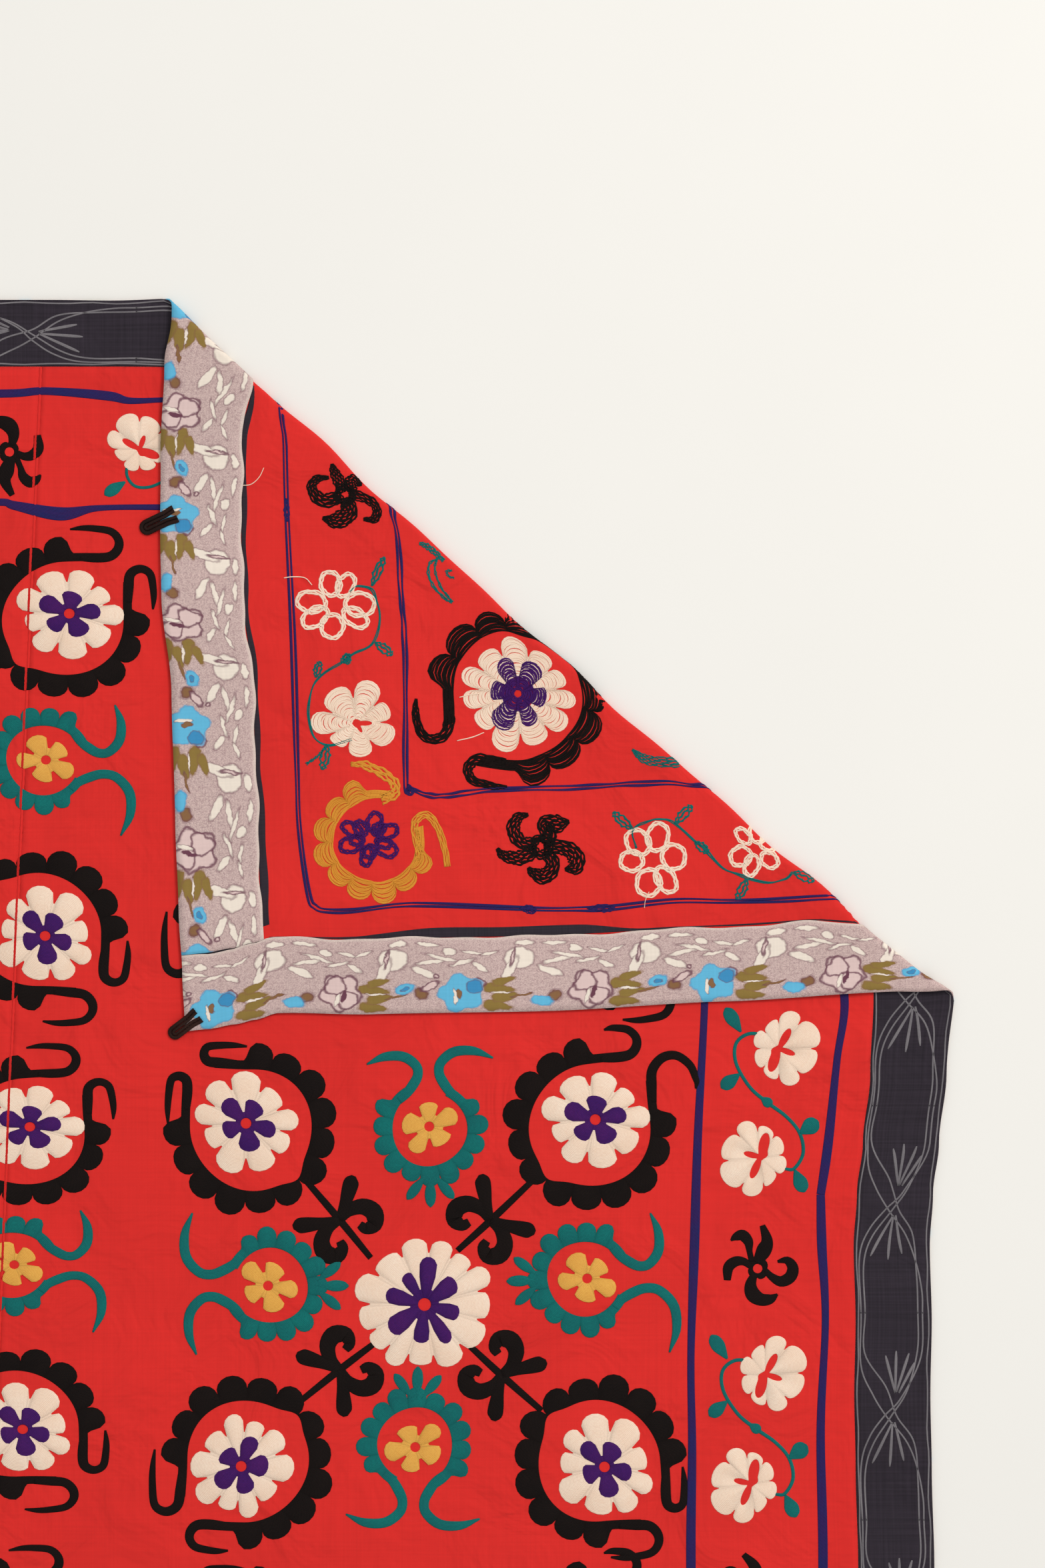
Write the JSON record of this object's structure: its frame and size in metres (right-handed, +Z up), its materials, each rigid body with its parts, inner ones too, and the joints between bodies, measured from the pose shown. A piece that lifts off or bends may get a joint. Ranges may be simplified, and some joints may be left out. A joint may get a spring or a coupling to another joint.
{
  "type": "suzani embroidered textile",
  "caption": "Rectangular red cotton wall cloth with a dark border, laid flat face up with one corner turned over to show its printed facing and hanging tabs.",
  "frame": {"origin": "centre of the bottom of the box of the textile as it lies, on the surface", "axes": "+Y up the height of the textile towards its top edge, +Z up off the surface that it lies on, +X to the right across its width, seen from above"},
  "size_m": [1.4026, 1.718, 0.008],
  "materials": {
    "red_cotton": "plain-weave red cotton, matt",
    "black_cotton": "close black cotton with stitched lines, matt",
    "printed_cotton": "floral printed cotton, matt",
    "dark_braid": "dark cotton braid, matt",
    "embroidery_thread": "silky cotton thread in chain stitch"
  },
  "bodies": {
    "root": {"ground_left": "red_cotton", "ground_right": "red_cotton", "border_top": "black_cotton", "border_right": "black_cotton", "border_bottom": "black_cotton", "border_left": "black_cotton", "facing_top": "printed_cotton", "facing_right": "printed_cotton", "facing_bottom": "printed_cotton", "facing_left": "printed_cotton", "tab_edge": "dark_braid", "tab_corner": "dark_braid"}
  },
  "joints": []
}
